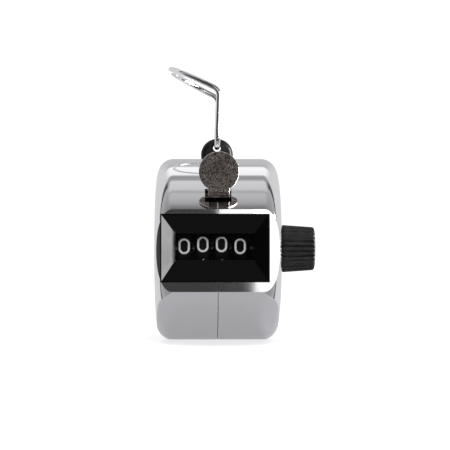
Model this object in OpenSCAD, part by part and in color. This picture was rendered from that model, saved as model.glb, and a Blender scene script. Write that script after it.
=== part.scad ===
// Hand tally counter: a pressed steel drum in two halves around a four-wheel
// counting movement, with a thumb lever, a reset knob and a wire finger ring.
// X runs to the right (the reset knob's side), Y to the back, Z up.
// The origin is the middle of the small flat that the drum rests on.

/* [Case] */
// Radius of the drum
case_r = 22; // [20:0.5:26]
// Half the width of the drum at its middle
case_half_w = 15.9; // [15.8:0.1:16.4]
// Radius of the rounded rim of each half
corner_r = 4.3; // [3:0.1:5]
// Radius of the slight dome of each side face
dome_r = 143; // [120:1:300]
// Thickness of the case wall
wall = 0.8; // [0.7:0.1:1]
// Width, front to back, of the flat that the drum rests on
flat_w = 8; // [5:0.5:9]
// How far the flat front of the drum lies from its axis
front_y = 19.85; // [19.7:0.05:20.4]

/* [Window] */
// Width of the bezel
bezel_w = 24.9; // [22:0.1:25]
// Height of the bezel
bezel_h = 15.6; // [13:0.1:16]
// Width of the opening in front of the number wheels
window_w = 18; // [17.2:0.1:18.4]
// Height of the opening in front of the number wheels
window_h = 6; // [5:0.1:7]
// How far the bezel's front lies from the drum's axis
bezel_front = 22.7; // [22.3:0.1:23.2]

/* [Number wheels] */
// Radius of the number wheels
wheel_r = 8; // [7.5:0.1:8.1]
// Distance from one number wheel to the next
wheel_pitch = 4.3; // [4.2:0.1:4.4]
// Width of a number wheel's rim
rim_w = 2.7; // [2.4:0.1:2.8]
// How far the wheels' shaft lies in front of the drum's axis
wheel_forward = 9.5; // [9.3:0.1:9.7]
// Number of teeth of a wheel's side gear
wheel_teeth = 20; // [20:1:20]
// Number of teeth of a carry pinion
pinion_teeth = 8; // [8:1:8]

/* [Reset knob] */
// Diameter of the knob beside the case
knob_d = 11.3; // [10:0.1:12]
// Diameter of the knob at its end
knob_end_d = 10.5; // [9:0.1:11]
// Length of the knob
knob_l = 8.3; // [7:0.1:10]

/* [Thumb lever] */
// Diameter of the thumb pad
pad_d = 9.2; // [8:0.1:10]
// Thickness of the lever's plate
lever_t = 1; // [0.8:0.1:1.1]
// Width of the neck that passes through the case
neck_w = 4.8; // [4:0.1:5.4]
// How far back the pad leans
pad_lean = 10; // [0:1:15]

/* [Finger ring] */
// Diameter of the ring's wire
wire_d = 1.35; // [1:0.05:1.5]
// Distance between the two legs, middle to middle
ring_w = 22; // [20:0.5:24]
// Height of the legs above the lug's hole
leg_h = 14.3; // [12:0.1:16]
// Slope of the bent-over bow above the level
bow_slope = 24; // [15:1:35]

/* [Hidden] */
$fn = 64;
eps = 0.01;

// The drum's axis above the resting flat
axis_z = sqrt(case_r^2 - (flat_w / 2)^2);
corner_centre_r = case_r - corner_r;
dome_centre = case_half_w - dome_r;
corner_centre_x = dome_centre + sqrt(dome_r^2 - corner_centre_r^2) - corner_r;

// Window
bezel_x = -0.76;
bezel_z = 0.64;
bezel_seat = 18.2;
bezel_rim = 0.3;
window_x = -0.8;
window_z = 0.88;
lens_t = 0.6;
lens_margin = 1;

// Slot for the lever
slot_w = 6.1;
slot_z = [11.1, 14.2];

// Movement: each place is [y, z] from the drum's axis
wheel_at = [-wheel_forward, 0.3];
gear_m = 0.67;
addendum = 0.45;
dedendum = 0.75;
tooth_tip = 0.17;
tooth_foot = 0.5;
tooth_sink = 0.2;
gear_r = gear_m * wheel_teeth / 2;
pinion_r = gear_m * pinion_teeth / 2;
pinion_at = [wheel_at[0] + gear_r + pinion_r, wheel_at[1]];
wheel_x0 = -7.81;
shaft_d = 3;
fit = 0.05;
gear_w = 0.7;
carry_w = 0.5;
carry_r = 4.6;
carry_tip_r = 5.2;
carry_tooth_w = 0.6;
carry_tooth_a = 9;
pinion_w = 1.3;
pinion_shaft_d = 2;
ratchet_teeth = 10;
ratchet_r = 5.6;
ratchet_root = 4.6;
ratchet_w = 1.16;
ratchet_face = 0.06;

// Frame plates
plate_t = 0.8;
plate_r = 17.2;
left_plate_x = -12.4;
right_plate_x = 10.2;
pillar_d = 3.6;
pillars_at = [[4, 13], [2, -14]];
post_at = [9, 0];
post_d = 4;
post_half_l = case_half_w - 1.25;
screw_d = 2;
frame_head_d = 3.6;
frame_head_t = 0.7;
frame_screw_l = 4;
case_head_d = 4;
case_head_t = 0.5;
case_seat_x = case_half_w - 0.5;
case_screw_l = 5;

// Lever
lever_at = [-15, -11];
axle_d = 2.4;
eye_r = 2.1;
tab_z = 12.2;
pad_front = 23.6;
pad_z = 18;
pad_x = 0.15;
bend_r = 1.5;
arm_w = 2.4;
arm_t = 0.8;
arm_shift = 0.2;
left_arm_x = -11.2;
right_arm_x = 9;
bar_back = 13.4;

// Pawls
pawl_t = 0.8;
pawl_x = 6.8;
pawl_eye_r = 1.4;
pawl_root_w = 2.5;
pawl_pin_d = 1.4;
pin_end = 0.1;
pawl_at = [-14.4, 9.6];
pawl_tip = [-11.4, 7.2];
stop_at = [-2, -5.7];
stop_tip = [-8.4, -6.1];
tip_w = 0.7;

// Springs
spring_wire = 0.5;
spring_r = 1.9;
spring_turns = 5;
spring_pitch = 0.75;
spring_x = -2.2;
spring_front_leg = [-2.2, -0.4];
spring_back_leg = [4, 1];
leaf_t = 0.25;
leaf_foot = 1.2;
leaf_top_y = pawl_at[0] + 1.3;
leaf_low = pawl_tip + [0.1, 1.9];

// Knob
knob_x = 14.45;
knob_gap = 0.4;
knob_base_chamfer = 0.35;
knob_end_chamfer = 0.6;
knob_bore_l = 6.5;

// Lug and ring
lug_y = 7;
lug_r = 3.95;
lug_z = 23.2;
lug_t = 5;
lug_round = 1.2;
lug_stem_d = 3;
lug_stem_z = 17.4;
lug_hole_z = 24.9;
lug_hole_d = 1.95;
washer_d = 5.5;
washer_t = 0.8;
washer_z = 17.6;
leg_round = 4;
bow_bend = 2.4;
bow_neck = 0.8;
leg_lean = 2;

function wheel_x(i) = wheel_x0 + i * wheel_pitch;
function dome_x(r) = dome_centre + sqrt(dome_r^2 - r^2);

// ---- helpers -------------------------------------------------------------

module on_axis() { translate([0, 0, axis_z]) children(); }

// A bar along X at a [y, z] place, from x to x + l
module x_bar(place, x, l, d) {
    translate([x, place[0], place[1]]) rotate([0, 90, 0]) cylinder(h = l, d = d);
}

// A flat shape drawn as [y, z], given thickness t along X from x
module x_plate(x, t) {
    translate([x, 0, 0]) rotate([90, 0, 90]) linear_extrude(height = t) children();
}

// Rectangle with rounded corners, drawn with true arcs
module round_rect(x0, y0, x1, y1, r) {
    translate([x0 + r, y0]) square([x1 - x0 - 2 * r, y1 - y0]);
    translate([x0, y0 + r]) square([x1 - x0, y1 - y0 - 2 * r]);
    for (x = [x0 + r, x1 - r], y = [y0 + r, y1 - r]) translate([x, y]) circle(r = r);
}

// A flat shape drawn as [x, z], given depth along Y from y0 back to y1
module y_plate(y0, y1) {
    translate([0, y1, 0]) rotate([90, 0, 0]) linear_extrude(height = y1 - y0) children();
}

// Round bar bent along a path of points, closed with flat ends
module bent_wire(path, d, sides, closed) {
    n = len(path);
    ring = [for (i = [0:n - 1])
        let (before = path[closed ? (i + n - 1) % n : max(i - 1, 0)],
             after = path[closed ? (i + 1) % n : min(i + 1, n - 1)],
             t = (after - before) / norm(after - before),
             u0 = cross(t, abs(t[0]) > 0.95 ? [0, 1, 0] : [1, 0, 0]),
             u = u0 / norm(u0),
             v = cross(t, u))
        [for (k = [0:sides - 1])
            path[i] + d / 2 * (cos(k * 360 / sides) * u + sin(k * 360 / sides) * v)]];
    last = closed ? n - 1 : n - 2;
    sides_faces = [for (i = [0:last], k = [0:sides - 1])
        [i * sides + k, i * sides + (k + 1) % sides,
         ((i + 1) % n) * sides + (k + 1) % sides, ((i + 1) % n) * sides + k]];
    ends = closed ? [] : [[for (k = [sides - 1:-1:0]) k],
                          [for (k = [0:sides - 1]) (n - 1) * sides + k]];
    polyhedron(points = [for (r = ring) each r], faces = concat(sides_faces, ends));
}

// ---- case ----------------------------------------------------------------

// Half of the drum's section, as [radius, x], set in from the outside
module case_section(inset) {
    r = case_r - inset;
    intersection() {
        square([corner_centre_r, case_half_w]);
        translate([0, dome_centre]) circle(r = dome_r - inset, $fn = 360);
    }
    square([r, corner_centre_x]);
    translate([corner_centre_r, corner_centre_x]) circle(r = corner_r - inset);
}

// Right half of the drum, set in from the outside, with its flat front
module half_drum(inset) {
    difference() {
        rotate([0, 90, 0]) rotate_extrude() case_section(inset);
        translate([-1, -case_r - 1, -case_r])
            cube([case_half_w + 2, case_r + 1 - front_y + inset, 2 * case_r]);
    }
}

module bezel_shape() {
    translate([bezel_x, bezel_z]) square([bezel_w, bezel_h], center = true);
}

// The opening behind the bezel, which the lens fills
module lens_shape() {
    translate([window_x, window_z])
        square([window_w + 2 * lens_margin, window_h + 2 * lens_margin], center = true);
}

// One half of the case: side is -1 for the left half and 1 for the right half
module case_half(side) {
    difference() {
        mirror([side < 0 ? 1 : 0, 0, 0]) difference() {
            half_drum(0);
            half_drum(wall);
        }
        y_plate(-case_r, -case_r / 2) lens_shape();
        translate([-slot_w / 2, -case_r - 1, slot_z[0]])
            cube([slot_w, case_r - 8, slot_z[1] - slot_z[0]]);
        translate([0, lug_y, 0]) cylinder(h = case_r + 1, d = lug_stem_d);
        translate([-case_half_w, -flat_w, -axis_z - 2]) cube([2 * case_half_w, 2 * flat_w, 2]);
        x_bar(post_at, side < 0 ? -case_half_w - 1 : post_half_l - 1, 3, screw_d);
        x_bar(post_at, side < 0 ? -case_seat_x - 1 : case_seat_x, 1, case_head_d + 2 * fit);
        if (side > 0) x_bar(wheel_at, case_half_w - 3, 4, knob_d + 2 * knob_gap);
    }
}

module case_left_shell() { color("gainsboro") on_axis() case_half(-1); }

module case_right_shell() { color("gainsboro") on_axis() case_half(1); }

// ---- window --------------------------------------------------------------

// Space in front of the window that narrows from the bezel's rim to the opening
module funnel() {
    front_w = bezel_w / 2 - bezel_rim;
    front_h = bezel_h / 2 - bezel_rim;
    y0 = -bezel_front - eps;
    y1 = -front_y + eps;
    intersection() {
        translate([0, 0, bezel_z - bezel_h]) linear_extrude(height = 2 * bezel_h) polygon([
            [bezel_x - front_w, y0], [bezel_x + front_w, y0],
            [window_x + window_w / 2, y1], [window_x - window_w / 2, y1]]);
        x_plate(bezel_x - bezel_w, 2 * bezel_w) polygon([
            [y0, bezel_z - front_h], [y0, bezel_z + front_h],
            [y1, window_z + window_h / 2], [y1, window_z - window_h / 2]]);
    }
}

// Frame that stands on the flat front; its ends reach back round the drum's rims
module window_bezel() {
    color("#141414") on_axis() difference() {
        y_plate(-bezel_front, -bezel_seat) bezel_shape();
        half_drum(0);
        mirror([1, 0, 0]) half_drum(0);
        funnel();
    }
}

module window_lens() {
    color("#dfe8ea", 0.35) on_axis() y_plate(-front_y, -front_y + lens_t) lens_shape();
}

// ---- frame ---------------------------------------------------------------

// Round side plate with an ear at its lower front that holds the lever's axle
module frame_side(x) {
    difference() {
        union() {
            x_bar([0, 0], x, plate_t, 2 * plate_r);
            x_bar(lever_at, x, plate_t, 2 * eye_r);
        }
        x_bar(lever_at, x - 1, plate_t + 2, axle_d);
        x_bar(wheel_at, x - 1, plate_t + 2, shaft_d + 2 * fit);
        x_bar(pinion_at, x - 1, plate_t + 2, pinion_shaft_d);
        x_bar(post_at, x - 1, plate_t + 2, post_d);
        for (p = pillars_at) x_bar(p, x - 1, plate_t + 2, screw_d);
        if (x > 0) x_bar(stop_at, x - 1, plate_t + 2, pawl_pin_d);
    }
}

module frame_left_plate() { color("silver") on_axis() frame_side(left_plate_x); }

module frame_right_plate() { color("silver") on_axis() frame_side(right_plate_x); }

module frame_pillars() {
    x0 = left_plate_x + plate_t;
    color("darkgray") on_axis() for (p = pillars_at) difference() {
        x_bar(p, x0, right_plate_x - x0, pillar_d);
        x_bar(p, x0 - 1, frame_screw_l + 1, screw_d);
        x_bar(p, right_plate_x - frame_screw_l, frame_screw_l + 1, screw_d);
    }
}

// Pan head screw whose head's underside is at x and whose shank points along dir
module screw(place, x, dir, head_d, head_t, shank_l) {
    x_bar(place, dir > 0 ? x : x - shank_l, shank_l, screw_d);
    difference() {
        x_bar(place, dir > 0 ? x - head_t : x, head_t, head_d);
        slot_x = dir > 0 ? x - head_t : x + head_t;
        translate([slot_x, place[0], place[1]])
            cube([head_t, head_d + 1, head_d / 8], center = true);
    }
}

module frame_screws() {
    color("dimgray") on_axis() for (p = pillars_at) {
        screw(p, left_plate_x, 1, frame_head_d, frame_head_t, frame_screw_l);
        screw(p, right_plate_x + plate_t, -1, frame_head_d, frame_head_t, frame_screw_l);
    }
}

module case_post() {
    color("darkgray") on_axis() difference() {
        x_bar(post_at, -post_half_l, 2 * post_half_l, post_d);
        x_bar(post_at, -post_half_l - 1, case_screw_l + 1, screw_d);
        x_bar(post_at, post_half_l - case_screw_l, case_screw_l + 1, screw_d);
    }
}

module case_screws() {
    color("silver") on_axis() {
        screw(post_at, -case_seat_x, 1, case_head_d, case_head_t, case_screw_l);
        screw(post_at, case_seat_x, -1, case_head_d, case_head_t, case_screw_l);
    }
}

// ---- thumb lever ---------------------------------------------------------

module lever_axle() {
    color("silver") on_axis()
        x_bar(lever_at, left_plate_x, right_plate_x + plate_t - left_plate_x, axle_d);
}

// Side view, as [y, z], of the plate that comes out of the slot and bends up
module lever_profile() {
    far = 2 * bend_r;
    translate([-pad_front + bend_r, tab_z]) square([pad_front - bend_r - bar_back, lever_t]);
    translate([-pad_front + bend_r, tab_z + bend_r]) {
        intersection() {
            difference() {
                circle(r = bend_r);
                circle(r = bend_r - lever_t);
            }
            polygon([[0, 0], [0, -far], [-far, -far], far * [-cos(pad_lean), sin(pad_lean)]]);
        }
        rotate(-pad_lean) translate([-bend_r, 0]) square([lever_t, pad_z]);
    }
}

// Front view, as [x, z], of the round pad and its neck
module lever_face() {
    translate([pad_x, pad_z]) circle(d = pad_d);
    translate([pad_x - neck_w / 2, tab_z - 1]) square([neck_w, pad_z - tab_z + 1]);
}

module lever_arm(x) {
    x_plate(x, arm_t) difference() {
        union() {
            translate(lever_at) circle(r = eye_r);
            translate([lever_at[0] - arm_w / 2 + arm_shift, lever_at[1]])
                square([arm_w, tab_z + lever_t - lever_at[1]]);
        }
        translate(lever_at) circle(d = axle_d + 2 * fit);
    }
}

module thumb_lever() {
    x0 = left_arm_x;
    x1 = right_arm_x + arm_t;
    bar_front = lever_at[0] - arm_w / 2 + arm_shift;
    color("#a79f96") on_axis() difference() {
        union() {
            intersection() {
                x_plate(-pad_d, 2 * pad_d) lever_profile();
                y_plate(-pad_front - 1, -bar_back + 1) lever_face();
            }
            translate([x0, bar_front, tab_z]) cube([x1 - x0, -bar_back - bar_front, lever_t]);
            lever_arm(left_arm_x);
            lever_arm(right_arm_x);
            x_bar(pawl_at, right_arm_x, arm_t, 2 * pawl_eye_r);
        }
        x_bar(pawl_at, right_arm_x - 1, arm_t + 2, pawl_pin_d);
    }
}

// Coil round the axle, with one end forward and one end back
module lever_return_spring() {
    steps = 12;
    turns = spring_turns;
    function at(a) = [spring_x + spring_pitch * a / 360,
                      lever_at[0] + spring_r * sin(a), lever_at[1] + spring_r * cos(a)];
    coil = [for (i = [0:steps * turns]) at(i * 360 / steps)];
    end = coil[len(coil) - 1];
    first = [spring_x, lever_at[0] + spring_front_leg[0], coil[0][2] + spring_front_leg[1]];
    last = [end[0], lever_at[0] + spring_back_leg[0], end[2] + spring_back_leg[1]];
    color("lightgray") on_axis() bent_wire(concat([first], coil, [last]), spring_wire, 8, false);
}

// ---- pawls ---------------------------------------------------------------

// Flat finger from an eye to a tip, drawn as [y, z]
module pawl_shape(eye, tip) {
    d = (tip - eye) / norm(tip - eye);
    side = [-d[1], d[0]];
    difference() {
        union() {
            translate(eye) circle(r = pawl_eye_r);
            polygon([eye + side * pawl_root_w / 2, eye - side * pawl_root_w / 2,
                     tip - side * tip_w / 2, tip + side * tip_w / 2]);
        }
        translate(eye) circle(d = pawl_pin_d + 2 * fit);
    }
}

module drive_pawl() {
    color("slategray") on_axis() x_plate(pawl_x, pawl_t) pawl_shape(pawl_at, pawl_tip);
}

module pawl_pin() {
    color("silver") on_axis()
        x_bar(pawl_at, pawl_x - pin_end, right_arm_x + arm_t - pawl_x + pin_end, pawl_pin_d);
}

// Leaf spring under the lever's cross bar, bent down behind the pawl's eye
module pawl_spring() {
    top = [leaf_top_y, tab_z];
    color("lightgray") on_axis() x_plate(pawl_x, pawl_t) polygon([
        top + [-leaf_foot, 0], top, leaf_low + [leaf_t, 0], leaf_low,
        top + [-leaf_t, -leaf_t], top + [-leaf_foot, -leaf_t]]);
}

module back_stop_pawl() {
    color("slategray") on_axis() x_plate(pawl_x, pawl_t) pawl_shape(stop_at, stop_tip);
}

module back_stop_pin() {
    color("silver") on_axis()
        x_bar(stop_at, pawl_x - pin_end, right_plate_x + plate_t - pawl_x + pin_end, pawl_pin_d);
}

// ---- number wheels and pinions -------------------------------------------

// Spur gear at a [y, z] place, from x to x + w, with straight-sided teeth; the
// first tooth, moved on by a part of a tooth, points to the back
module gear(place, x, w, teeth, pitch_r, part) {
    tip = pitch_r + addendum;
    root = pitch_r - dedendum;
    x_bar(place, x, w, 2 * root);
    translate([0, place[0], place[1]]) for (i = [0:teeth - 1])
        x_plate(x, w) rotate((i + part) * 360 / teeth - 90)
            polygon([[tooth_tip, tip], [tooth_foot, root - tooth_sink],
                     [-tooth_foot, root - tooth_sink], [-tooth_tip, tip]]);
}

// Ratchet outline with saw teeth
module ratchet_shape() {
    step = 360 / ratchet_teeth;
    polygon([for (i = [0:ratchet_teeth - 1], k = [0, 1])
        let (a = (i + ratchet_face * k) * step, r = k == 0 ? ratchet_root : ratchet_r)
        [r * cos(a), r * sin(a)]]);
}

module number_wheel(i, toothed, carry, ratchet) {
    x0 = wheel_x(i) - rim_w / 2;
    x1 = wheel_x(i) + rim_w / 2;
    difference() {
        union() {
            x_bar(wheel_at, x0, rim_w, 2 * wheel_r);
            if (toothed) gear(wheel_at, x1 - eps, gear_w + eps, wheel_teeth, gear_r, 0);
            if (carry) translate([0, wheel_at[0], wheel_at[1]])
                x_plate(x0 - carry_w, carry_w + eps) {
                    circle(r = carry_r);
                    for (a = [-carry_tooth_a, carry_tooth_a]) rotate(a)
                        translate([-carry_tooth_w / 2, 0]) square([carry_tooth_w, carry_tip_r]);
                }
            if (ratchet) translate([0, wheel_at[0], wheel_at[1]])
                x_plate(x1 - eps, ratchet_w + eps) ratchet_shape();
        }
        x_bar(wheel_at, x0 - 2, rim_w + 4, shaft_d + 2 * fit);
    }
}

module thousands_wheel() { color("#161616") on_axis() number_wheel(0, true, false, false); }

module hundreds_wheel() { color("#161616") on_axis() number_wheel(1, true, true, false); }

module tens_wheel() { color("#161616") on_axis() number_wheel(2, true, true, false); }

module units_wheel() { color("#161616") on_axis() number_wheel(3, false, true, true); }

// Pinion in the gap to the right of wheel i, with a gap towards the wheel's tooth
module carry_pinion(i) {
    x0 = wheel_x(i) + wheel_pitch / 2 - pinion_w / 2;
    difference() {
        union() gear(pinion_at, x0, pinion_w, pinion_teeth, pinion_r, 0.5);
        x_bar(pinion_at, x0 - 1, pinion_w + 2, pinion_shaft_d + 2 * fit);
    }
}

module tens_pinion() { color("goldenrod") on_axis() carry_pinion(2); }

module hundreds_pinion() { color("goldenrod") on_axis() carry_pinion(1); }

module thousands_pinion() { color("goldenrod") on_axis() carry_pinion(0); }

module pinion_shaft() {
    color("silver") on_axis()
        x_bar(pinion_at, left_plate_x, right_plate_x + plate_t - left_plate_x, pinion_shaft_d);
}

// ---- reset knob ----------------------------------------------------------

module reset_shaft() {
    color("silver") on_axis()
        x_bar(wheel_at, left_plate_x, knob_x + knob_bore_l - left_plate_x, shaft_d);
}

module reset_knob() {
    r0 = knob_d / 2;
    r1 = knob_end_d / 2;
    color("#1b1b1b") on_axis() translate([knob_x, wheel_at[0], wheel_at[1]])
        rotate([0, 90, 0]) rotate_extrude() polygon([
            [shaft_d / 2, 0], [r0 - knob_base_chamfer, 0], [r0, knob_base_chamfer],
            [r1, knob_l - knob_end_chamfer], [r1 - knob_end_chamfer, knob_l],
            [0, knob_l], [0, knob_bore_l], [shaft_d / 2, knob_bore_l]]);
}

// ---- lug and finger ring -------------------------------------------------

// Rounded disc, standing across the drum, that sits on the drum's top
module ring_lug() {
    color("#181818") on_axis() difference() {
        union() {
            difference() {
                translate([0, lug_y + lug_t / 2, lug_z]) rotate([90, 0, 0])
                    rotate_extrude() intersection() {
                        round_rect(-lug_r, 0, lug_r, lug_t, lug_round);
                        square([lug_r + 1, lug_t]);
                    }
                x_bar([0, 0], -case_half_w, 2 * case_half_w, 2 * case_r);
            }
            translate([0, lug_y, lug_stem_z]) cylinder(h = lug_z - lug_stem_z, d = lug_stem_d);
        }
        translate([0, lug_y + lug_t, lug_hole_z]) rotate([90, 0, 0])
            cylinder(h = 2 * lug_t, d = lug_hole_d);
    }
}

module lug_washer() {
    color("silver") on_axis() translate([0, lug_y, washer_z]) difference() {
        cylinder(h = washer_t, d = washer_d);
        translate([0, 0, -1]) cylinder(h = washer_t + 2, d = lug_stem_d);
    }
}

// Points of the ring, with the lug's hole at the start: across, up, over, round
half_w = ring_w / 2;
bend_a = 90 - bow_slope;
bow_dir = [-cos(bow_slope), 0, sin(bow_slope)];
bow_start = [-bow_bend * (1 - cos(bend_a)), 0, leg_h - bow_bend + bow_bend * sin(bend_a)];
ring_side = concat(
    [[0, 0, 0], [0, half_w - leg_round, 0]],
    [for (a = [15:15:90]) [0, half_w - leg_round + leg_round * sin(a), leg_round * (1 - cos(a))]],
    [for (a = [0:10:bend_a]) [-bow_bend * (1 - cos(a)), half_w, leg_h - bow_bend + bow_bend * sin(a)]],
    [for (a = [0:10:90]) bow_start + [0, half_w * cos(a), 0] + (bow_neck + half_w * sin(a)) * bow_dir]);
ring_path = concat(ring_side,
    [for (i = [len(ring_side) - 2:-1:1]) [ring_side[i][0], -ring_side[i][1], ring_side[i][2]]]);

module finger_ring() {
    color("gainsboro") on_axis() translate([0, lug_y, lug_hole_z])
        rotate([0, leg_lean, 0]) bent_wire(ring_path, wire_d, 10, true);
}

case_left_shell();
case_right_shell();
window_bezel();
window_lens();
frame_left_plate();
frame_right_plate();
frame_pillars();
frame_screws();
case_post();
case_screws();
lever_axle();
lever_return_spring();
thumb_lever();
drive_pawl();
pawl_pin();
pawl_spring();
back_stop_pawl();
back_stop_pin();
units_wheel();
tens_wheel();
hundreds_wheel();
thousands_wheel();
tens_pinion();
hundreds_pinion();
thousands_pinion();
pinion_shaft();
reset_shaft();
reset_knob();
ring_lug();
lug_washer();
finger_ring();
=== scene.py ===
# %% [markdown]
# # A hand tally counter
# The counting movement, its joints and its true sizes are already made. This
# lesson gives it its looks: bright plated shells, a glossy black window, white
# numerals, a tumbled steel thumb lever, a fluted knob and a bent wire ring.
# Every length is in metres, and X runs right, Y back and Z up.

# %% Load the movement
import math

import bmesh
import bpy
from mathutils import Matrix, Vector


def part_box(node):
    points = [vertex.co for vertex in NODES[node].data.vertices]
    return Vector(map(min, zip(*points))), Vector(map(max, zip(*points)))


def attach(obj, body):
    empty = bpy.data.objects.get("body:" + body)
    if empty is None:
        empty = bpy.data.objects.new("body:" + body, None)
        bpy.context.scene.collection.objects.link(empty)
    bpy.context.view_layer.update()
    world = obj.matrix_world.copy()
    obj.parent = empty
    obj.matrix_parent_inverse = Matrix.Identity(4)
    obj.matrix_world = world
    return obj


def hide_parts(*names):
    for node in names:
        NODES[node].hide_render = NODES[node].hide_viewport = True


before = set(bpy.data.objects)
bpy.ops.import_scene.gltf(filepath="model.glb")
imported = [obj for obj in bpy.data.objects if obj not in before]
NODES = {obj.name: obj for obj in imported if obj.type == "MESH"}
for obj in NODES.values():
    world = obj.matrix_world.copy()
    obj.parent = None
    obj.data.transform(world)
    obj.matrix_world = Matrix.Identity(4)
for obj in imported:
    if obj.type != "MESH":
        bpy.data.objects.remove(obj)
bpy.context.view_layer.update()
MM = 0.001
print("nodes in the frame:", len(NODES))

# %% [markdown]
# The places of all new pieces come from the movement itself. The case is a drum
# whose axis runs along X, so its highest and rearmost points give its radius
# and the height of its axis.

# %% Measure the drum
_, shell_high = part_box("case_right_shell")
DRUM_R = shell_high[1]
AXIS_Z = shell_high[2] - DRUM_R
print("drum radius %.1f mm, axis at %.2f mm" % (DRUM_R / MM, AXIS_Z / MM))

# %% [markdown]
# The number wheels share one shaft in front of the drum's axis. The middle of a
# wheel's box is a point on that shaft.

# %% Find the wheels' shaft


def middle(node):
    low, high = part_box(node)
    return (Vector(low) + Vector(high)) / 2


wheel_low, wheel_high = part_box("tens_wheel")
WHEEL_R = (wheel_high[2] - wheel_low[2]) / 2
WHEEL_AXIS = middle("tens_wheel")
print("number wheels: radius %.1f mm" % (WHEEL_R / MM))

# %% [markdown]
# ## Materials
# A helper starts each material with a plain shader. Numbers that are the same
# all over are set on the shader itself. Painted images could give the fine
# detail, but noise worked out by the shader stays sharp at any distance.

# %% Plain material


def new_material(name, colour, metallic, roughness, **sockets):
    mat = bpy.data.materials.new(name)
    mat.use_nodes = True
    shader = mat.node_tree.nodes["Principled BSDF"]
    shader.inputs["Base Color"].default_value = (*colour, 1)
    shader.inputs["Metallic"].default_value = metallic
    shader.inputs["Roughness"].default_value = roughness
    for socket, value in sockets.items():
        shader.inputs[socket.replace("_", " ")].default_value = value
    return mat


def add_node(mat, kind, **settings):
    node = mat.node_tree.nodes.new(kind)
    for key, value in settings.items():
        setattr(node, key, value)
    return node


def link(mat, out, into):
    mat.node_tree.links.new(out, into)


# %% [markdown]
# No real surface is the same all over. Noise drives small changes of roughness
# and fine bumps, which break up the reflections. Most of its values lie in the
# middle of the range from 0 to 1, so that middle part is what gets spread out.

# %% Noise in a material
NOISE_LOW = 0.35
NOISE_HIGH = 0.65


def noise(mat, scale, detail=4.0, stretch=(1, 1, 1)):
    """Noise over the object's own coordinates, finer along the stretched axes."""
    where = add_node(mat, "ShaderNodeTexCoord")
    mapping = add_node(mat, "ShaderNodeMapping")
    mapping.inputs["Scale"].default_value = stretch
    tex = add_node(mat, "ShaderNodeTexNoise")
    tex.inputs["Scale"].default_value = scale
    tex.inputs["Detail"].default_value = detail
    link(mat, where.outputs["Object"], mapping.inputs["Vector"])
    link(mat, mapping.outputs["Vector"], tex.inputs["Vector"])
    return tex


def ranged(mat, tex, low, high, socket):
    """Turns the noise into a range of values on one of the shader's sockets."""
    spread = add_node(mat, "ShaderNodeMapRange")
    spread.inputs["From Min"].default_value = NOISE_LOW
    spread.inputs["From Max"].default_value = NOISE_HIGH
    spread.inputs["To Min"].default_value = low
    spread.inputs["To Max"].default_value = high
    link(mat, tex.outputs["Fac"], spread.inputs["Value"])
    link(mat, spread.outputs["Result"], mat.node_tree.nodes["Principled BSDF"].inputs[socket])


print("noise is read between", NOISE_LOW, "and", NOISE_HIGH)

# %% [markdown]
# The same noise can raise the surface, or colour it between two shades. A bump
# only tilts the shading, which is enough for marks finer than a hair.

# %% Bumps and tints


def bumped(mat, tex, distance, strength=1.0):
    """Raises and sinks the surface's shading by the noise, at most by the distance."""
    bump = add_node(mat, "ShaderNodeBump")
    bump.inputs["Distance"].default_value = distance
    bump.inputs["Strength"].default_value = strength
    link(mat, tex.outputs["Fac"], bump.inputs["Height"])
    link(mat, bump.outputs["Normal"], mat.node_tree.nodes["Principled BSDF"].inputs["Normal"])


def tinted(mat, tex, dark, light, low=NOISE_LOW, high=NOISE_HIGH):
    """Colours the surface between two shades as the noise says."""
    ramp = add_node(mat, "ShaderNodeValToRGB")
    ramp.color_ramp.elements[0].position = low
    ramp.color_ramp.elements[0].color = (*dark, 1)
    ramp.color_ramp.elements[1].position = high
    ramp.color_ramp.elements[1].color = (*light, 1)
    link(mat, tex.outputs["Fac"], ramp.inputs["Fac"])
    link(mat, ramp.outputs["Color"], mat.node_tree.nodes["Principled BSDF"].inputs["Base Color"])


# %% [markdown]
# Plated steel is close to a mirror. What tells it from a perfect one is a little
# haze, where fingers have dulled it, and the slight waviness of pressed sheet.
# The waves are wide and very low, because a mirror doubles every slope.

# %% Bright plating
plating = new_material("bright_plating", (0.87, 0.87, 0.885), 1.0, 0.05)
ranged(plating, noise(plating, 90, 6), 0.035, 0.075, "Roughness")
bumped(plating, noise(plating, 60, 1), 0.02 * MM, 0.5)
print("made", plating.name)

# %% [markdown]
# The thumb pad is nickelled steel that was tumbled and not polished. Under a
# lens it is a field of short dark and light flecks, so its colour and its
# surface come from one fine noise. The edges rounded by tumbling have a finish
# of their own, paler than the faces: that paler colour is a painted highlight.

# %% Tumbled nickel
nickel = new_material("tumbled_nickel", (0.5, 0.45, 0.42), 1.0, 0.38)
flecks = noise(nickel, 4500, 6, (1, 1, 0.6))
tinted(nickel, flecks, (0.05, 0.04, 0.037), (0.34, 0.295, 0.27), 0.4, 0.64)
ranged(nickel, noise(nickel, 500, 3), 0.3, 0.45, "Roughness")
bumped(nickel, flecks, 0.03 * MM, 0.6)

# Paler edge finish: its colour is a painted highlight along the lever's rim.
nickel_edge_highlight = new_material("nickel_edge_highlight", (0.92, 0.86, 0.79), 1.0, 0.25)
ranged(nickel_edge_highlight, noise(nickel_edge_highlight, 900, 3), 0.2, 0.32, "Roughness")
print("made", nickel.name, "and", nickel_edge_highlight.name)

# %% [markdown]
# Inside parts are plain turned and stamped steel, and the carry pinions are
# brass. The steel's noise is drawn out along X, like the grain of drawn rod.

# %% Steel and brass
steel = new_material("stamped_steel", (0.6, 0.6, 0.61), 1.0, 0.3)
grain = noise(steel, 400, 4, (1, 8, 8))
ranged(steel, grain, 0.22, 0.4, "Roughness")
bumped(steel, grain, 0.01 * MM)

pinion_brass = new_material("pinion_brass", (0.8, 0.62, 0.3), 1.0, 0.25)
ranged(pinion_brass, noise(pinion_brass, 600), 0.2, 0.35, "Roughness")
print("made", steel.name, "and", pinion_brass.name)

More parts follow.
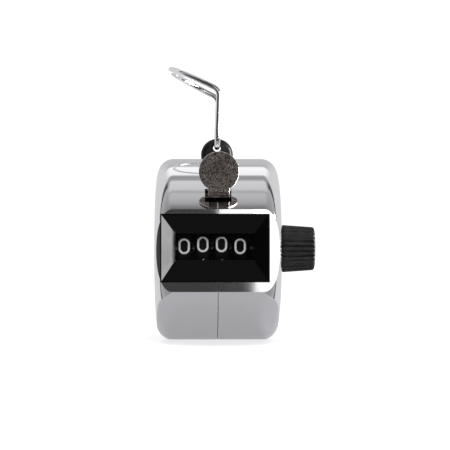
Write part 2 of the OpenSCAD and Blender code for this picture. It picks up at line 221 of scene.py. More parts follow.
# %% [markdown]
# The window is a hard glossy moulding, and the knob and the lug are duller ones.
# Black is hardly a colour here: it shows only as what it mirrors, so the
# mirroring is turned down as well.

# %% Black mouldings
gloss_black = new_material("gloss_black_moulding", (0.002, 0.002, 0.002), 0.0, 0.08,
                           Specular_IOR_Level=0.12)
ranged(gloss_black, noise(gloss_black, 200), 0.06, 0.12, "Roughness")
bumped(gloss_black, noise(gloss_black, 250, 2), 0.01 * MM, 0.4)

satin_black = new_material("satin_black_moulding", (0.006, 0.0055, 0.006), 0.0, 0.36,
                           Specular_IOR_Level=0.3)
ranged(satin_black, noise(satin_black, 700), 0.3, 0.46, "Roughness")
bumped(satin_black, noise(satin_black, 2500, 2), 0.01 * MM, 0.5)

wheel_black = new_material("wheel_black", (0.002, 0.002, 0.002), 0.0, 0.5, Specular_IOR_Level=0.1)
ranged(wheel_black, noise(wheel_black, 900), 0.42, 0.58, "Roughness")
print("made three black mouldings")

# %% [markdown]
# The numerals are printed in a thick matt white. Glowing paint would be
# readable in any light, but it would look lit from behind.

# %% White print
numeral_white = new_material("numeral_white", (0.8, 0.8, 0.78), 0.0, 0.6)
tinted(numeral_white, noise(numeral_white, 2000), (0.86, 0.86, 0.85), (0.95, 0.95, 0.94))
print("made", numeral_white.name)

# %% [markdown]
# The pane in the window is a clear moulding, thin enough to show little but a
# faint sheen. A glass shader would bend the light and darken the numerals, so
# this is a nearly see-through surface instead.

# %% Clear pane
clear_pane = new_material("clear_pane", (0.02, 0.022, 0.022), 0.0, 0.03, Alpha=0.04)
ranged(clear_pane, noise(clear_pane, 80), 0.01, 0.04, "Roughness")
print("made", clear_pane.name)

# %% [markdown]
# The movement's own pieces keep their shape and get these finishes in their
# material slots.

# %% Finishes on the movement


def finish_node(node, mat):
    mesh = NODES[node].data
    mesh.materials.clear()
    mesh.materials.append(mat)


STEEL_NODES = ("frame_left_plate", "frame_right_plate", "frame_pillars", "frame_screws", "case_post",
               "lever_axle", "lever_return_spring", "drive_pawl", "pawl_pin", "pawl_spring",
               "back_stop_pawl", "back_stop_pin", "pinion_shaft", "reset_shaft", "lug_washer")
BRASS_NODES = ("tens_pinion", "hundreds_pinion", "thousands_pinion")
for node in STEEL_NODES:
    finish_node(node, steel)
for node in BRASS_NODES:
    finish_node(node, pinion_brass)
finish_node("window_lens", clear_pane)
print("finished", len(STEEL_NODES), "steel pieces,", len(BRASS_NODES), "brass ones and the pane")

# %% [markdown]
# ## Making a piece
# Each new piece is drawn as a bmesh, because its operators work on the mesh
# alone and need no selection or mode. One helper turns it into an object with
# smooth faces and crisp edges, gives it a finish, hangs it on the part of the
# movement that carries it and hides the plain piece it takes the place of.

# %% Piece helper
SAME_SPOT = 1e-7


def make_piece(name, bm, mat, body, replaced=(), sharp=35, flat=False):
    """Edges that turn by more than the sharp angle stay crisp; flat evens out the shading of flat faces."""
    bmesh.ops.remove_doubles(bm, verts=bm.verts, dist=SAME_SPOT)
    mesh = bpy.data.meshes.new(name)
    bm.to_mesh(mesh)
    bm.free()
    for face in mesh.polygons:
        face.use_smooth = True
    mesh.set_sharp_from_angle(angle=math.radians(sharp))
    mesh.materials.append(mat)
    piece = bpy.data.objects.new(name, mesh)
    bpy.context.scene.collection.objects.link(piece)
    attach(piece, body)
    if replaced:
        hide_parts(*replaced)
    if flat:
        piece.modifiers.new("flat_faces", "WEIGHTED_NORMAL").keep_sharp = True
    print("made %s: %d faces" % (name, len(mesh.polygons)))
    return piece


def bevel(bm, edges, width, segments=3, material=-1):
    """Rounds the edges; their new faces take the numbered material, or with -1 their neighbours'."""
    bmesh.ops.bevel(bm, geom=edges, offset=width, offset_type="OFFSET", affect="EDGES",
                    segments=segments, profile=0.5, material=material, clamp_overlap=True)


# %% [markdown]
# ## The case
# Each half is drawn from sheet steel: a side that is very slightly domed, a
# round corner and a short cylinder up to the seam. A bevelled cylinder would be
# quicker, but the dome's arc has to run into the corner's arc without a kink,
# because a mirror finish shows the slightest one. So the outline is worked out
# from the two arcs, and it is spun once round the drum's axis later.

# %% Outline of a half
HALF_W = 15.9 * MM
CORNER_R = 4.3 * MM
DOME_R = 143 * MM
SEAM_ROUND = 0.26 * MM
DOME_STEPS = 14
CORNER_STEPS = 20


def half_outline():
    """Points [x, radius] from the middle of the side to the seam."""
    dome_x = HALF_W - DOME_R
    corner_r = DRUM_R - CORNER_R
    corner_x = dome_x + math.sqrt((DOME_R - CORNER_R) ** 2 - corner_r ** 2)
    meet = math.atan2(corner_r, corner_x - dome_x)
    points = [(dome_x + DOME_R * math.cos(a), DOME_R * math.sin(a))
              for a in (meet * i / DOME_STEPS for i in range(DOME_STEPS))]
    bend = math.pi / 2 - meet
    points += [(corner_x + CORNER_R * math.cos(a), corner_r + CORNER_R * math.sin(a))
               for a in (meet + bend * i / CORNER_STEPS for i in range(CORNER_STEPS + 1))]
    points += [(corner_x * (1 - k / 6), DRUM_R) for k in range(1, 6)]
    points += [(SEAM_ROUND * (1.1 - math.sin(a)), DRUM_R - SEAM_ROUND * (1 - math.cos(a)))
               for a in (math.radians(15 * i) for i in range(6))]
    return points


print("the outline has", len(half_outline()), "points")

# %% [markdown]
# The drum's front is pressed flat for the window. A plane cuts the round front
# off, and one flat face closes the cut. It lies where the pane's front is.

# %% Flat front
lens_low, lens_high = (Vector(c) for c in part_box("window_lens"))
FRONT_Y = lens_low.y
ON_FRONT = 1e-6


def flat_front(bm):
    """Cuts the front off and closes it with one flat face."""
    bmesh.ops.bisect_plane(bm, geom=[*bm.verts, *bm.edges, *bm.faces], plane_co=(0, FRONT_Y, 0),
                           plane_no=(0, -1, 0), clear_outer=True)
    rim = [v for v in bm.verts if abs(v.co.y - FRONT_Y) < ON_FRONT]
    centre = sum((v.co for v in rim), Vector()) / len(rim)
    rim.sort(key=lambda v: math.atan2(v.co.z - centre.z, v.co.x - centre.x))
    bm.faces.new(rim)
    bmesh.ops.recalc_face_normals(bm, faces=bm.faces)


print("the flat front lies at y = %.2f mm" % (FRONT_Y / MM))

# %% [markdown]
# Two openings are stamped through the front: the window, and the slot that the
# lever comes out of. A boolean would cut them too, but it often leaves ragged
# triangles, and a mirror shows those. Planes along an opening's edges leave
# clean straight cuts, and the faces between them are deleted.

# %% Window and slot
SLOT_HALF_W = 3.05 * MM
SLOT_LOW = AXIS_Z + 11.1 * MM
SLOT_HIGH = AXIS_Z + 14.2 * MM


def cut_opening(bm, x0, x1, z0, z1):
    """Removes what lies between two upright and two level planes on the front."""
    for co, no in (((x0, 0, 0), (1, 0, 0)), ((x1, 0, 0), (1, 0, 0)),
                   ((0, 0, z0), (0, 0, 1)), ((0, 0, z1), (0, 0, 1))):
        front = [g for g in (*bm.verts, *bm.edges, *bm.faces)
                 if (g.co if isinstance(g, bmesh.types.BMVert) else g.verts[0].co).y < 0]
        bmesh.ops.bisect_plane(bm, geom=front, plane_co=co, plane_no=no)
    middles = {face: face.calc_center_median() for face in bm.faces}
    inside = [face for face, at in middles.items() if x0 < at.x < x1 and z0 < at.z < z1 and at.y < 0]
    bmesh.ops.delete(bm, geom=inside, context="FACES")


print("the slot is %.1f by %.1f mm" % (2 * SLOT_HALF_W / MM, (SLOT_HIGH - SLOT_LOW) / MM))

# %% [markdown]
# The knob sits in a round hole in the right half. The hole is cut in the same
# way, with one plane for each of its many sides. Only the faces near the hole
# are cut, so that the rest of the side keeps its smooth shading.

# %% Hole for the knob
KNOB_HOLE_R = 6.05 * MM
HOLE_SIDES = 40
CUT_REACH = KNOB_HOLE_R * 1.3


def shaft_distance(face):
    """How far a face on the right is from the wheels' shaft; the left ones count as a metre away."""
    at = face.calc_center_median()
    return math.hypot(at.y - WHEEL_AXIS.y, at.z - WHEEL_AXIS.z) if at.x > 0 else 1


def cut_knob_hole(bm):
    """Removes what lies inside a ring of planes round the wheels' shaft."""
    for i in range(HOLE_SIDES):
        a = math.tau * i / HOLE_SIDES
        out = Vector((0, math.cos(a), math.sin(a)))
        near = [face for face in bm.faces if shaft_distance(face) < CUT_REACH]
        around = {part for face in near for part in (*face.verts, *face.edges)}
        bmesh.ops.bisect_plane(bm, geom=[*around, *near], plane_co=WHEEL_AXIS + out * KNOB_HOLE_R,
                               plane_no=out)
    inside = [face for face in bm.faces if shaft_distance(face) < KNOB_HOLE_R]
    bmesh.ops.delete(bm, geom=inside, context="FACES")


print("the knob's hole is %.1f mm across" % (2 * KNOB_HOLE_R / MM))

# %% [markdown]
# Now a half can be put together. Its outline is spun into a shell and cut, and
# what would lie below the floor is pressed level with it, so that the counter
# can stand.

# %% Spin and cut a half
SPIN_STEPS = 160
SPIN_SEAM = 1e-6


def case_half(side):
    """The outer skin of a half; side is -1 for the left one and 1 for the right one."""
    bm = bmesh.new()
    verts = [bm.verts.new((side * x, 0, AXIS_Z + r)) for x, r in half_outline()]
    edges = [bm.edges.new(pair) for pair in zip(verts, verts[1:])]
    bmesh.ops.spin(bm, geom=verts + edges, cent=(0, 0, AXIS_Z), axis=(1, 0, 0), angle=math.tau,
                   steps=SPIN_STEPS, use_merge=True)
    bmesh.ops.remove_doubles(bm, verts=bm.verts, dist=SPIN_SEAM)
    flat_front(bm)
    cut_opening(bm, lens_low.x, lens_high.x, lens_low.z, lens_high.z)
    cut_opening(bm, -SLOT_HALF_W, SLOT_HALF_W, SLOT_LOW, SLOT_HIGH)
    if side > 0:
        cut_knob_hole(bm)
    for vert in bm.verts:
        vert.co.z = max(vert.co.z, 0)
    return bm


print("a half is spun in", SPIN_STEPS, "steps")

# %% [markdown]
# The skin gets the thickness of the sheet from a modifier, which also closes
# the edges of each opening. Those edges are marked sharp first. Without that the
# shading runs round them and bends the reflections on the flat front.

# %% Walls of sheet steel
WALL = 0.8 * MM


def add_wall(piece):
    wall = piece.modifiers.new("wall", "SOLIDIFY")
    wall.thickness = WALL
    wall.offset = -1


def sharpen_borders(mesh):
    """Marks the open edges of a skin as sharp."""
    bm = bmesh.new()
    bm.from_mesh(mesh)
    for edge in bm.edges:
        if edge.is_boundary:
            edge.smooth = False
    bm.to_mesh(mesh)
    bm.free()


for side, name in ((-1, "left"), (1, "right")):
    shell = make_piece(f"{name}_shell", case_half(side), plating, "counter",
                       [f"case_{name}_shell"], sharp=17)
    sharpen_borders(shell.data)
    add_wall(shell)

# %% [markdown]
# ## The window
# The bezel is one glossy black moulding: a thin rim, and four flat slopes that
# lead down to the opening. A box could be inset and pushed in, but the slopes
# are not equally wide. Four rectangles are bridged instead, from the back of
# the bezel round its front to the opening. The edges are broken very slightly,
# so that each catches a line of light.

# %% Black bezel
bezel_low, bezel_high = (Vector(c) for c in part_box("window_bezel"))
LENS_MARGIN = 1.0 * MM
BEZEL_RIM = 0.3 * MM
BEZEL_EDGE = 0.04 * MM


def rectangle(bm, x0, x1, z0, z1, y):
    verts = [bm.verts.new(p) for p in ((x0, y, z0), (x1, y, z0), (x1, y, z1), (x0, y, z1))]
    return [bm.edges.new((v, verts[(i + 1) % 4])) for i, v in enumerate(verts)]


def black_bezel():
    bm = bmesh.new()
    low, high, rim = bezel_low, bezel_high, BEZEL_RIM
    window = (lens_low.x + LENS_MARGIN, lens_high.x - LENS_MARGIN, lens_low.z + LENS_MARGIN,
              lens_high.z - LENS_MARGIN)
    loops = [rectangle(bm, low.x, high.x, low.z, high.z, high.y),
             rectangle(bm, low.x, high.x, low.z, high.z, low.y),
             rectangle(bm, low.x + rim, high.x - rim, low.z + rim, high.z - rim, low.y),
             rectangle(bm, *window, FRONT_Y)]
    for a, b in zip(loops, loops[1:] + loops[:1]):
        bmesh.ops.bridge_loops(bm, edges=a + b)
    bmesh.ops.recalc_face_normals(bm, faces=bm.faces)
    bevel(bm, list(bm.edges), BEZEL_EDGE, 2)
    return bm


make_piece("black_bezel", black_bezel(), gloss_black, "counter", ["window_bezel"],
           sharp=8)

# %% [markdown]
# ## The number wheels
# Each wheel is a black drum with ten white numerals round its rim. The wheels
# of the movement already have their true shape, with their gears and the
# ratchet, so they stay and only get a dull black finish.

# %% Black wheels
WHEELS = {"thousands": "thousands_wheel", "hundreds": "hundreds_wheel", "tens": "tens_wheel",
          "units": "units_wheel"}
for node in WHEELS.values():
    finish_node(node, wheel_black)
print("blackened", len(WHEELS), "wheels")

# %% [markdown]
# A numeral is one or more strokes, and each stroke is a centre line in a box
# about one unit wide and one unit high. Lettering from a font would bring in
# someone's typeface. These lines and arcs are plain engraver's shapes.

# %% Lines of the numerals


def arc(cx, cy, rx, ry, start, end, steps=10):
    """Points on a stretch of an ellipse, from one angle in degrees to another."""
    angles = [math.radians(start + (end - start) * i / steps) for i in range(steps + 1)]
    return [(cx + rx * math.cos(a), cy + ry * math.sin(a)) for a in angles]


def zero_line():
    top = arc(0, 0.17, 0.5, 0.33, 0, 180)
    return top + arc(0, -0.17, 0.5, 0.33, 180, 360) + top[:1]


NUMERALS = [
    [zero_line()],
    [[(-0.2, 0.3), (0.05, 0.5), (0.05, -0.5)]],
    [arc(0, 0.22, 0.48, 0.28, 160, -30) + [(-0.48, -0.5), (0.5, -0.5)]],
    [arc(0, 0.25, 0.44, 0.25, 150, -80), arc(0, -0.23, 0.5, 0.27, 80, -150)],
    [[(0.2, -0.5), (0.2, 0.5), (-0.5, -0.2), (0.5, -0.2)]],
    [[(0.42, 0.5), (-0.38, 0.5), (-0.42, 0.05)] + arc(0, -0.18, 0.5, 0.32, 130, -150)],
    [arc(0.1, 0.1, 0.56, 0.4, 75, 180) + arc(0, -0.2, 0.46, 0.3, 180, 530, 20)],
    [[(-0.48, 0.5), (0.48, 0.5), (-0.1, -0.5)]],
    [arc(0, 0.26, 0.42, 0.24, 90, 450, 20), arc(0, -0.24, 0.5, 0.26, 90, 450, 20)],
    [arc(-0.1, -0.1, 0.56, 0.4, -105, 0) + arc(0, 0.2, 0.46, 0.3, 0, 350, 20)],
]
print("drew", len(NUMERALS), "numerals")

# %% [markdown]
# An edge as long as a stroke is wide is pushed along the centre line, so that it
# leaves a ribbon. The ribbon is wrapped round the wheel's rim, a hair above the
# black, as thick print lies there. A closed stroke ends in the direction in
# which it started.

# %% Strokes on a rim
NUMERAL_W = 2.15 * MM
NUMERAL_H = 3.2 * MM
STROKE = 0.46 * MM
PRINT_LIFT = 0.03 * MM
CLOSED_GAP = 1e-6


def add_stroke(bm, points, turn, x_mid):
    """Pushes a short edge along the line and wraps it round the wheel's rim."""
    flat = [Vector((x * NUMERAL_W, y * NUMERAL_H)) for x, y in points]
    radius = WHEEL_R + PRINT_LIFT
    last = None
    for i, at in enumerate(flat):
        along = (flat[min(i + 1, len(flat) - 1)] - flat[max(i - 1, 0)]).normalized()
        if (flat[0] - flat[-1]).length < CLOSED_GAP and i in (0, len(flat) - 1):
            along = (flat[1] - flat[-2]).normalized()
        side = Vector((-along.y, along.x)) * STROKE / 2
        pair = []
        for spot in (at + side, at - side):
            a = spot.y / radius + turn
            pair.append(bm.verts.new((x_mid + spot.x, WHEEL_AXIS.y - radius * math.cos(a),
                                      WHEEL_AXIS.z + radius * math.sin(a))))
        if last:
            bm.faces.new((last[0], last[1], pair[1], pair[0]))
        last = pair


print("numerals are %.2f by %.2f mm" % (NUMERAL_W / MM, NUMERAL_H / MM))

# %% [markdown]
# Counting up lifts each wheel's front, so the numeral 1 waits below the 0. The
# wheels never stop in exactly one line: the two in the middle sit nearly half a
# millimetre higher.

# %% Put the numerals on the wheels
RIM_SHARE = 0.98
NUMERAL_STEP = math.tau / len(NUMERALS)
# How far each 0 stands above the wheels' axis, in millimetres
REST_LIFT = {"thousands": 0.67, "hundreds": 1.12, "tens": 1.12, "units": 0.67}


def rim_middle(node):
    """The rim is the widest part of a wheel, between its gear and its carry disc."""
    places = [v.co.x for v in NODES[node].data.vertices
              if math.hypot(v.co.y - WHEEL_AXIS.y, v.co.z - WHEEL_AXIS.z) > WHEEL_R * RIM_SHARE]
    return (min(places) + max(places)) / 2


for name, node in WHEELS.items():
    bm = bmesh.new()
    for number, lines in enumerate(NUMERALS):
        turn = REST_LIFT[name] * MM / WHEEL_R - number * NUMERAL_STEP
        for line in lines:
            add_stroke(bm, line, turn, rim_middle(node))
    bmesh.ops.recalc_face_normals(bm, faces=bm.faces)
    for face in bm.faces:
        at = face.calc_center_median()
        if face.normal.dot(Vector((0, at.y - WHEEL_AXIS.y, at.z - WHEEL_AXIS.z))) < 0:
            face.normal_flip()
    make_piece(f"{name}_numerals", bm, numeral_white, name)

# %% [markdown]
# ## The thumb lever
# The lever is one stamping, and tumbling leaves a small radius on all its
# edges. Drawing it again could only repeat the movement's own shape, so that is
# copied. Its triangles are joined into flat faces, or else their edges would be
# in the way, and then its hard edges are rounded. The rounds get the paler edge
# finish, which is a painted highlight.

# %% Rounded edges on a copied piece
NEAR_SPOT = 2e-6
FLAT_ENOUGH = math.radians(2)
HARD_EDGE = math.radians(40)


def softened(node, width, material=-1):
    """A copy of a piece of the movement, with its hard edges rounded."""
    bm = bmesh.new()
    bm.from_mesh(NODES[node].data)
    bmesh.ops.remove_doubles(bm, verts=bm.verts, dist=NEAR_SPOT)
    bmesh.ops.dissolve_limit(bm, angle_limit=FLAT_ENOUGH, verts=bm.verts, edges=bm.edges)
    hard = [e for e in bm.edges if len(e.link_faces) == 2 and e.calc_face_angle(0) > HARD_EDGE]
    bevel(bm, hard, width, material=material)
    return bm


LEVER_EDGE = 0.25 * MM
# The rounded edges take the second material, whose paler colour is a painted highlight.
lever = make_piece("ground_lever", softened("thumb_lever", LEVER_EDGE, material=1), nickel, "lever",
                   ["thumb_lever"], flat=True)
lever.data.materials.append(nickel_edge_highlight)

# %% [markdown]
# The screws' heads and the ring's lug are small solid pieces that were turned
# and moulded. Their edges are rounded in the same way, only less.

# %% Screws and lug
SCREW_EDGE = 0.08 * MM
LUG_EDGE = 0.05 * MM
make_piece("bright_case_screws", softened("case_screws", SCREW_EDGE), plating, "counter",
           ["case_screws"], flat=True)
make_piece("black_lug", softened("ring_lug", LUG_EDGE), satin_black, "counter",
           ["ring_lug"])

# %% [markdown]
# ## The reset knob
# Fine flutes give the fingers a grip. Grooves cut one by one would take many
# booleans. Here the flutes are waves in a circle, and circles at several places
# along the knob are bridged. They narrow slightly towards the end, and the waves
# grow shallow at both ends, as they do on a moulded knob.

# %% Outline of the knob
knob_low, knob_high = (Vector(c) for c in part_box("reset_knob"))
KNOB_MID = middle("reset_knob")
KNOB_R = (knob_high.z - knob_low.z) / 2
KNOB_END_R = KNOB_R - 0.5 * MM
# Places along the knob as [share of the length, radius, share of the flutes' depth]
KNOB_STATIONS = [(0, KNOB_R - 0.4 * MM, 0.2), (0.03, KNOB_R - 0.08 * MM, 0.8), (0.05, KNOB_R, 1),
                 (0.5, (KNOB_R + KNOB_END_R) / 2, 1), (0.92, KNOB_END_R, 1),
                 (0.955, KNOB_END_R - 0.06 * MM, 0.9), (0.985, KNOB_END_R - 0.22 * MM, 0.6),
                 (1, KNOB_END_R - 0.55 * MM, 0.1)]
print("the knob narrows from %.1f to %.1f mm" % (2 * KNOB_R / MM, 2 * KNOB_END_R / MM))

# %% [markdown]
# The wave is raised to a power below one, which makes the ribs broad and the
# grooves between them narrow. A shallow dish in the end face catches a ring of
# light.

# %% Fluted knob
FLUTES = 26
FLUTE_DEPTH = 0.4 * MM
STEPS_PER_FLUTE = 6
RIB_POWER = 0.6
DISH_RIM = 0.8 * MM
DISH_SLOPE = 0.4 * MM
DISH_DEPTH = 0.12 * MM


def fluted_knob():
    bm = bmesh.new()
    rings = []
    for share, radius, depth in KNOB_STATIONS:
        x = knob_low.x + share * (knob_high.x - knob_low.x)
        ring = bmesh.ops.create_circle(bm, segments=FLUTES * STEPS_PER_FLUTE, radius=radius)["verts"]
        for i, vert in enumerate(ring):
            wave = 0.5 - 0.5 * math.cos(math.tau * i / STEPS_PER_FLUTE)
            scale = 1 - (1 - wave ** RIB_POWER) * depth * FLUTE_DEPTH / radius
            vert.co = Vector((x, KNOB_MID.y + vert.co.x * scale, KNOB_MID.z + vert.co.y * scale))
        rings.append([e for e in bm.edges if all(v in set(ring) for v in e.verts)])
    for a, b in zip(rings, rings[1:]):
        bmesh.ops.bridge_loops(bm, edges=a + b)
    for ring in (rings[0], rings[-1]):
        cap = bmesh.ops.contextual_create(bm, geom=ring)["faces"]
        if ring is rings[-1]:
            bmesh.ops.inset_region(bm, faces=cap, thickness=DISH_RIM, depth=0)
            bmesh.ops.inset_region(bm, faces=cap, thickness=DISH_SLOPE, depth=-DISH_DEPTH)
    bmesh.ops.recalc_face_normals(bm, faces=bm.faces)
    return bm


make_piece("fluted_knob", fluted_knob(), satin_black, "reset", ["reset_knob"], sharp=60)

# %% [markdown]
# ## The finger ring
# The ring is one length of plated wire. It passes through the lug, turns up into
# two legs and is bent over into a bow. A curve object with a bevel would make
# such a tube too, but its bends would only come near to true arcs. So the line
# is made of straight stretches and arcs. All its sizes are on the wire's middle.

# %% Line of the wire
lug_mid = middle("ring_lug")
ring_low, ring_high = (Vector(c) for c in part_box("finger_ring"))
WIRE_R = 0.675 * MM
RING_HALF_W = (ring_high.y - ring_low.y) / 2 - WIRE_R
HOLE_UP = 24.9 * MM
RING_HOLE = Vector((0, lug_mid.y, AXIS_Z + HOLE_UP))
LEG_H = 14.3 * MM
LEG_ROUND = 4 * MM
BOW_BEND = 2.4 * MM
BOW_SLOPE = math.radians(24)
BOW_NECK = 0.8 * MM


def wire_line():
    """Half of the ring's middle line, from the lug round to the tip of the bow."""
    level = RING_HALF_W - LEG_ROUND
    points = [Vector((0, level * k / 4, 0)) for k in range(4)]
    points += [Vector((0, level + LEG_ROUND * math.sin(a), LEG_ROUND * (1 - math.cos(a))))
               for a in (math.radians(9 * i) for i in range(11))]
    bend_z = LEG_H - BOW_BEND
    straight = bend_z - LEG_ROUND
    points += [Vector((0, RING_HALF_W, LEG_ROUND + straight * k / 5)) for k in range(1, 5)]
    turn = math.pi / 2 - BOW_SLOPE
    points += [Vector((-BOW_BEND * (1 - math.cos(a)), RING_HALF_W, bend_z + BOW_BEND * math.sin(a)))
               for a in (turn * i / 10 for i in range(11))]
    bow = Vector((-math.cos(BOW_SLOPE), 0, math.sin(BOW_SLOPE)))
    start = Vector((points[-1].x, 0, points[-1].z))
    for a in (math.radians(5 * i) for i in range(19)):
        sideways = Vector((0, RING_HALF_W * math.cos(a), 0))
        points.append(start + sideways + (BOW_NECK + RING_HALF_W * math.sin(a)) * bow)
    return points


print("half of the ring's line has", len(wire_line()), "points")

# %% [markdown]
# The other half is the mirror image. The whole ring leans a little, as it hangs
# loosely in its lug. A small circle is drawn across the wire at each point of the
# line, and the circles are bridged into a closed tube.

# %% Wire ring
LEG_LEAN = math.radians(2)
WIRE_SIDES = 20
NEARLY_ALONG_X = 0.95


def wire_ring():
    half = wire_line()
    line = half + [Vector((p.x, -p.y, p.z)) for p in half[-2:0:-1]]
    lean = Matrix.Rotation(LEG_LEAN, 3, "Y")
    line = [RING_HOLE + lean @ p for p in line]
    bm = bmesh.new()
    rings = []
    for i, at in enumerate(line):
        along = (line[(i + 1) % len(line)] - line[i - 1]).normalized()
        across = Vector((1, 0, 0)) if abs(along.x) < NEARLY_ALONG_X else Vector((0, 1, 0))
        side = along.cross(across).normalized()
        place = Matrix((side, along.cross(side), along)).transposed().to_4x4()
        place.translation = at
        ring = bmesh.ops.create_circle(bm, segments=WIRE_SIDES, radius=WIRE_R, matrix=place)["verts"]
        rings.append([e for e in bm.edges if e.verts[0] in ring and e.verts[1] in ring])
    for a, b in zip(rings, rings[1:] + rings[:1]):
        bmesh.ops.bridge_loops(bm, edges=a + b)
    bmesh.ops.recalc_face_normals(bm, faces=bm.faces)
    return bm


make_piece("wire_ring", wire_ring(), plating, "ring", ["finger_ring"], sharp=60)

# %% [markdown]
# ## The studio
# A mirror finish shows its surroundings and little else, so the surroundings are
# drawn with care. One white floor would be mirrored as a bright ring low on the
# drum. So the drum mirrors a grey plate under it, while the camera sees a white
# one, darker in its glow at the drum's foot: that is a painted shadow. Both glow,
# so that they need no light of their own.

# %% Glowing plate
PLATE_BLUE = 1.03
PLATE_SIDES = 96


def make_plate(name, radius, drop, colour, levels, stretch):
    """A round plate that glows in two shades, from the middle out to its edge."""
    bm = bmesh.new()
    bmesh.ops.create_circle(bm, cap_ends=True, segments=PLATE_SIDES, radius=radius)
    mesh = bpy.data.meshes.new(name)
    bm.to_mesh(mesh)
    bm.free()
    plate = bpy.data.objects.new(name, mesh)
    plate.location.z = -drop
    bpy.context.scene.collection.objects.link(plate)
    paint = new_material(name + "_paint", colour, 0.0, 0.4, Emission_Strength=1.0)
    where = add_node(paint, "ShaderNodeTexCoord")
    mapping = add_node(paint, "ShaderNodeMapping")
    mapping.inputs["Scale"].default_value = stretch
    reach = add_node(paint, "ShaderNodeVectorMath", operation="LENGTH")
    ramp = add_node(paint, "ShaderNodeValToRGB")
    for stop, (distance, level) in zip(ramp.color_ramp.elements, levels):
        stop.position = distance
        stop.color = (level, level, level * PLATE_BLUE, 1)
    link(paint, where.outputs["Object"], mapping.inputs["Vector"])
    link(paint, mapping.outputs["Vector"], reach.inputs[0])
    link(paint, reach.outputs["Value"], ramp.inputs["Fac"])
    link(paint, ramp.outputs["Color"], paint.node_tree.nodes["Principled BSDF"].inputs["Emission Color"])
    ranged(paint, noise(paint, 20), 0.36, 0.44, "Roughness")
    mesh.materials.append(paint)
    return plate


# %% [markdown]
# The levels are how bright a plate glows at two distances from its middle, in
# metres. The white one's painted shadow is squeezed along X, because the drum is
# narrower than it is deep.

# %% Two floors
grey_floor = make_plate("grey_floor", 31 * MM, 0.1 * MM, (0.12, 0.12, 0.123),
                        [(0.02, 0.34), (0.031, 0.36)], (1, 1, 1))
grey_floor.visible_camera = False
# Dimmer near the middle: the white plate's glow holds a painted shadow under the drum.
white_floor = make_plate("white_floor", 60 * MM, 0.05 * MM, (0.06, 0.06, 0.06),
                         [(0.019, 0.7), (0.03, 1.2)], (1.15, 1, 1))
white_floor.visible_glossy = False
white_floor.visible_diffuse = False
print("laid the floor")

# %% [markdown]
# The room is a colour ramp over the angle from straight ahead, over the top, to
# the back. In front it is dim, above there is a grey ceiling with a white panel
# just behind, and the back is pale. A real room of walls and panels would give
# the same, but each of its lines would need a piece of its own. Towards the
# sides the room fades to a second, plainer ramp.

# %% Brightness of the room
# Angle from the front, in degrees, and how bright the room is there
ROOM = [(0, 0.05), (40, 0.06), (48, 0.07), (52, 0.15), (56, 0.28), (60, 0.4), (67, 0.5), (75, 0.53),
        (77, 0.39), (80, 0.64), (95, 0.7), (98, 0.37), (103, 0.32), (106, 0.42), (108, 1.0), (126, 1.08),
        (130, 0.49), (138, 0.56), (164, 0.56), (170, 1.2)]
ROOM_TOP = 1.25
# The same for directions well to the side, where a dark line parts the front from the back
ROOM_SIDES = [(0, 0.05), (40, 0.1), (60, 0.32), (88, 0.46), (92, 0.07), (98, 0.07), (104, 0.7),
              (180, 0.72)]
print("the room has", len(ROOM), "stops, and its sides have", len(ROOM_SIDES))

# %% [markdown]
# The shader works out the angle of each direction with arithmetic nodes. Two
# helpers keep that readable: one makes an arithmetic node, the other a ramp
# from a list of stops. A trace of blue keeps the greys cool.

# %% Helpers for the room
COOL = 1.015
world = bpy.data.worlds.new("room")
bpy.context.scene.world = world
world.use_nodes = True
tree = world.node_tree


def maths(operation, *values):
    """An arithmetic node; each value is a number or another node's output."""
    node = tree.nodes.new("ShaderNodeMath")
    node.operation = operation
    for i, value in enumerate(values):
        if isinstance(value, (int, float)):
            node.inputs[i].default_value = value
        else:
            tree.links.new(value, node.inputs[i])
    return node.outputs[0]


def shades(value, stops):
    """A ramp of greys; the places of its stops go from 0 to 1."""
    ramp = tree.nodes.new("ShaderNodeValToRGB")
    tree.links.new(value, ramp.inputs["Fac"])
    elements = ramp.color_ramp.elements
    while len(elements) > 1:
        elements.remove(elements[-1])
    for i, (place, level) in enumerate(stops):
        stop = elements[0] if i == 0 else elements.new(place)
        stop.position = place
        stop.color = (level, level, level * COOL, 1)
    return ramp.outputs["Color"]


# %% [markdown]
# A direction's X says how far it points to the side. Between two values of X the
# first ramp is mixed into the second. Below the horizon the room is a mirror
# image of what is above.

# %% Light the room
SIDE_START = 0.15
SIDE_FULL = 0.5


def room_light():
    background = tree.nodes["Background"]
    where = tree.nodes.new("ShaderNodeTexCoord")
    split = tree.nodes.new("ShaderNodeSeparateXYZ")
    tree.links.new(where.outputs["Generated"], split.inputs[0])
    front = maths("MULTIPLY", split.outputs["Y"], -1.0)
    angle = maths("DIVIDE", maths("ARCTAN2", maths("ABSOLUTE", split.outputs["Z"]), front), math.pi)
    sideways = tree.nodes.new("ShaderNodeMapRange")
    sideways.interpolation_type = "SMOOTHSTEP"
    sideways.inputs["From Min"].default_value = SIDE_START
    sideways.inputs["From Max"].default_value = SIDE_FULL
    tree.links.new(maths("ABSOLUTE", split.outputs["X"]), sideways.inputs["Value"])
    mix = tree.nodes.new("ShaderNodeMix")
    mix.data_type = "RGBA"
    tree.links.new(sideways.outputs["Result"], mix.inputs["Factor"])
    for letter, stops in (("A", ROOM), ("B", ROOM_SIDES)):
        colour = shades(angle, [(degrees / 180, level / ROOM_TOP) for degrees, level in stops])
        tree.links.new(colour, mix.inputs[letter])
    tree.links.new(mix.outputs["Result"], background.inputs["Color"])
    background.inputs["Strength"].default_value = ROOM_TOP


room_light()
print("lit the room")

# %% [markdown]
# A tall soft box at the right puts the bright streak on the case's right corner
# and lights the left slope of the window. Two white cards beside the camera show
# in the flat front. These three show in mirrors and light nothing else. Two
# large fills light the numerals and the thumb pad, and no mirror shows them.

# %% Soft boxes
CENTRE = Vector((0, 0, AXIS_Z))


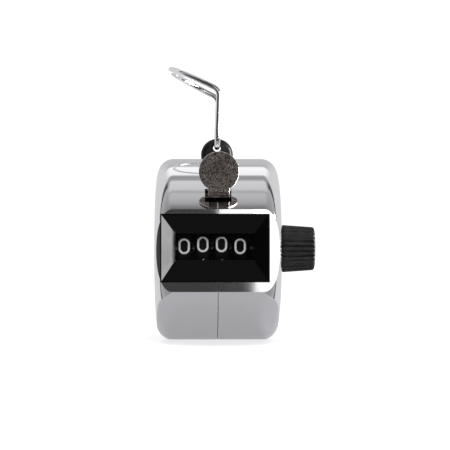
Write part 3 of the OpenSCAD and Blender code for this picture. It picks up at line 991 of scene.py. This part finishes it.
def soft_box(name, azimuth, elevation, distance, size, radiance, seen=True):
    """A rectangular light that faces the counter; azimuth 0 is the front."""
    a, e = math.radians(azimuth), math.radians(elevation)
    light = bpy.data.lights.new(name, "AREA")
    light.shape = "RECTANGLE"
    light.size, light.size_y = size
    light.energy = radiance * math.pi * size[0] * size[1]
    lamp = bpy.data.objects.new(name, light)
    out = Vector((math.sin(a) * math.cos(e), -math.cos(a) * math.cos(e), math.sin(e)))
    lamp.location = CENTRE + distance * out
    lamp.rotation_euler = out.to_track_quat("Z", "Y").to_euler()
    lamp.visible_glossy = seen
    bpy.context.scene.collection.objects.link(lamp)
    return lamp


# Each has its azimuth and elevation in degrees, its distance, its size in metres and its radiance
soft_box("right_box", 68, 4, 0.4, (0.2, 0.36), 32).visible_diffuse = False
soft_box("front_card", 12.5, 0, 0.4, (0.13, 0.3), 1.2).visible_diffuse = False
soft_box("upper_card", 3.3, 8.5, 0.4, (0.036, 0.1), 1.2).visible_diffuse = False
soft_box("top_fill", 20, 80, 1.0, (1.6, 1.6), 1.8, seen=False)
soft_box("front_fill", -20, 25, 1.0, (0.8, 0.8), 2.8, seen=False)
print("hung the lights")

# %% [markdown]
# ## The camera
# The camera looks level at the counter from the front, a third of a metre away
# and a little above the drum's axis. The focal length follows from how wide a
# field the counter stands in.

# %% Camera
DISTANCE = 0.34
FIELD_W = 0.10935
SENSOR_W = 36
AZIMUTH = math.radians(-1)
TARGET = Vector((1.9 * MM, 0, 27.5 * MM))

lens_data = bpy.data.cameras.new("camera")
lens_data.sensor_width = SENSOR_W
lens_data.lens = SENSOR_W * DISTANCE / FIELD_W
lens_data.clip_start = 0.01
camera = bpy.data.objects.new("camera", lens_data)
camera.location = TARGET + DISTANCE * Vector((math.sin(AZIMUTH), -math.cos(AZIMUTH), 0))
camera.rotation_euler = (math.pi / 2, 0, AZIMUTH)
bpy.context.scene.collection.objects.link(camera)
bpy.context.scene.camera = camera
bpy.context.scene.view_settings.view_transform = "Standard"
print("camera at", [round(c, 3) for c in camera.location])
